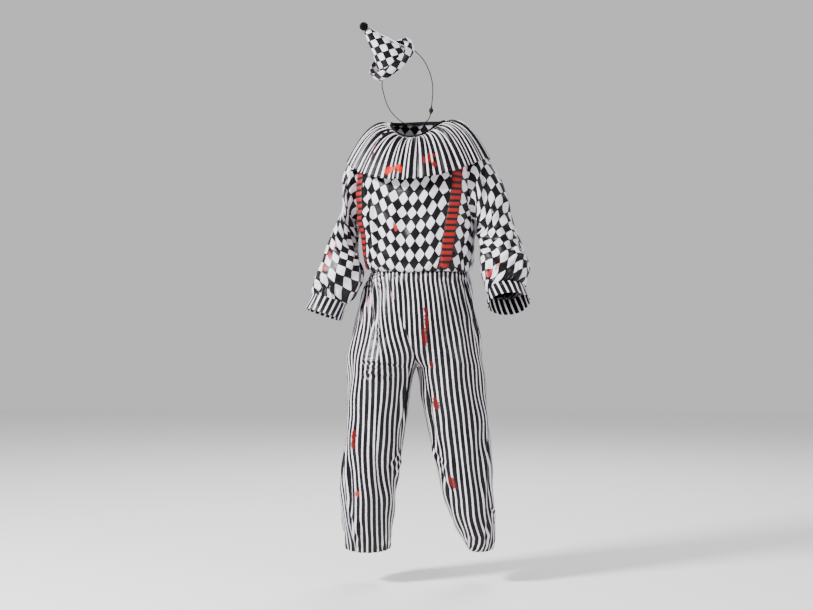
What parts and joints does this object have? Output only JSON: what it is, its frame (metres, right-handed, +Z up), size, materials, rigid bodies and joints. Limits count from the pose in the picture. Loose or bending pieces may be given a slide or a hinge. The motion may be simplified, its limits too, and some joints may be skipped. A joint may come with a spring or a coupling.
{
  "type": "harlequin costume",
  "caption": "One-piece satin harlequin suit with ruffle collar, blouson sleeves, striped trousers and braces, in its worn form, with a small tipped cone hat on a chin elastic",
  "frame": {"origin": "The middle of the neck opening, where the wearer's neck and shoulders hold the suit.", "axes": "Z is up, along the suit from hem to neck. The front faces -Y, turned a little towards -X in the stored pose. X points to the wearer's left."},
  "size_m": [0.7479, 0.4532, 1.7719],
  "materials": {
    "satin_check": "satin printed with black and white diamonds",
    "satin_stripe": "satin printed with black and white stripes",
    "brace_cloth": "puffed red bars on black ribbon",
    "binding": "matt black tape",
    "hat_cloth": "satin printed with black and white squares over a stiff lining",
    "elastic": "thin round covered elastic, black",
    "yarn": "black yarn pompom"
  },
  "bodies": {
    "root": {"bodice_front": "satin_check", "bodice_back": "satin_check", "sleeve_left": "satin_check", "sleeve_right": "satin_check", "cuff_left": "satin_stripe", "cuff_right": "satin_stripe", "collar_ruffle": "satin_stripe", "neck_binding": "binding", "brace_left": "brace_cloth", "brace_right": "brace_cloth", "trouser_front_left": "satin_stripe", "trouser_front_right": "satin_stripe", "trouser_back_left": "satin_stripe", "trouser_back_right": "satin_stripe", "hat_cone": "hat_cloth", "hat_brim": "hat_cloth", "hat_pompom": "yarn", "hat_elastic": "elastic"}
  },
  "joints": []
}
